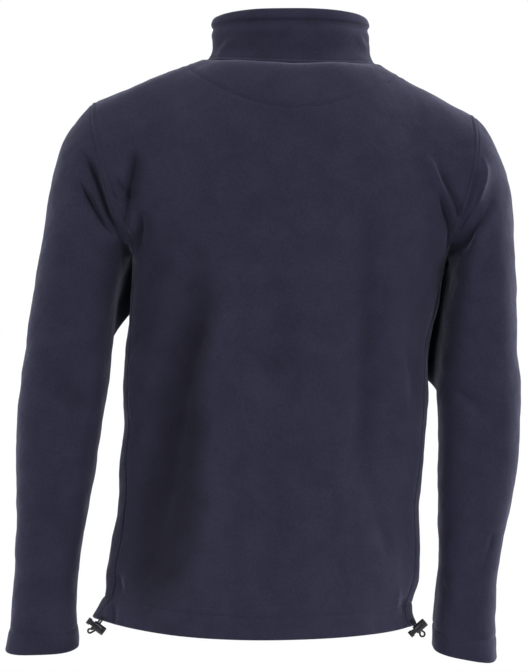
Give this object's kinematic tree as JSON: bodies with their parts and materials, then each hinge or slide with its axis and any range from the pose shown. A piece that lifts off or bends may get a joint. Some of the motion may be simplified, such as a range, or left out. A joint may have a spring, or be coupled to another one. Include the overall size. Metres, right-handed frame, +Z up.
{
  "type": "fleece zip jacket",
  "caption": "Hollow worn-shape fleece jacket with a stand collar, full front zip, hemmed cuffs and a drawcord hem with a cord lock at each hip.",
  "frame": {"origin": "middle of the neck at the height of the collar seam, where the wearer's shoulders carry the jacket", "axes": "+Z up, the front faces -Y, the wearer's left is +X"},
  "size_m": [0.625, 0.2631, 0.7814],
  "materials": {
    "fleece": "matte brushed fleece, dark navy",
    "zip_tape": "woven tape",
    "zip_teeth": "satin coil",
    "zip_metal": "satin enamel",
    "lock_plastic": "satin moulded",
    "cord_braid": "braided elastic"
  },
  "bodies": {
    "jacket": {"back_panel": "fleece", "front_left": "fleece", "front_right": "fleece", "sleeve_left": "fleece", "sleeve_right": "fleece", "collar": "fleece", "zip_tape_left": "zip_tape", "zip_tape_right": "zip_tape", "zip_chain": "zip_teeth", "zip_slider": "zip_metal", "cord_lock_left": "lock_plastic", "cord_lock_right": "lock_plastic", "drawcord_left": "cord_braid", "drawcord_right": "cord_braid"},
    "pull": {"zip_pull": "zip_metal"},
    "plunger_left": {"lock_plunger_left": "lock_plastic"},
    "plunger_right": {"lock_plunger_right": "lock_plastic"}
  },
  "joints": [
    {"name": "pull_swing", "type": "hinge", "parent": "jacket", "child": "pull", "pos_m": [0, -0.08469, -0.018], "axis": [-1, 0, 0], "range_deg": [0, 165]},
    {"name": "lock_press_left", "type": "slide", "parent": "jacket", "child": "plunger_left", "axis": [-0.809, 0, -0.5878], "range_m": [0, 0.0035], "stiffness_N_per_m": 400, "springref_m": -0.004},
    {"name": "lock_press_right", "type": "slide", "parent": "jacket", "child": "plunger_right", "axis": [-0.7547, 0, 0.6561], "range_m": [0, 0.0035], "stiffness_N_per_m": 400, "springref_m": -0.004}
  ]
}
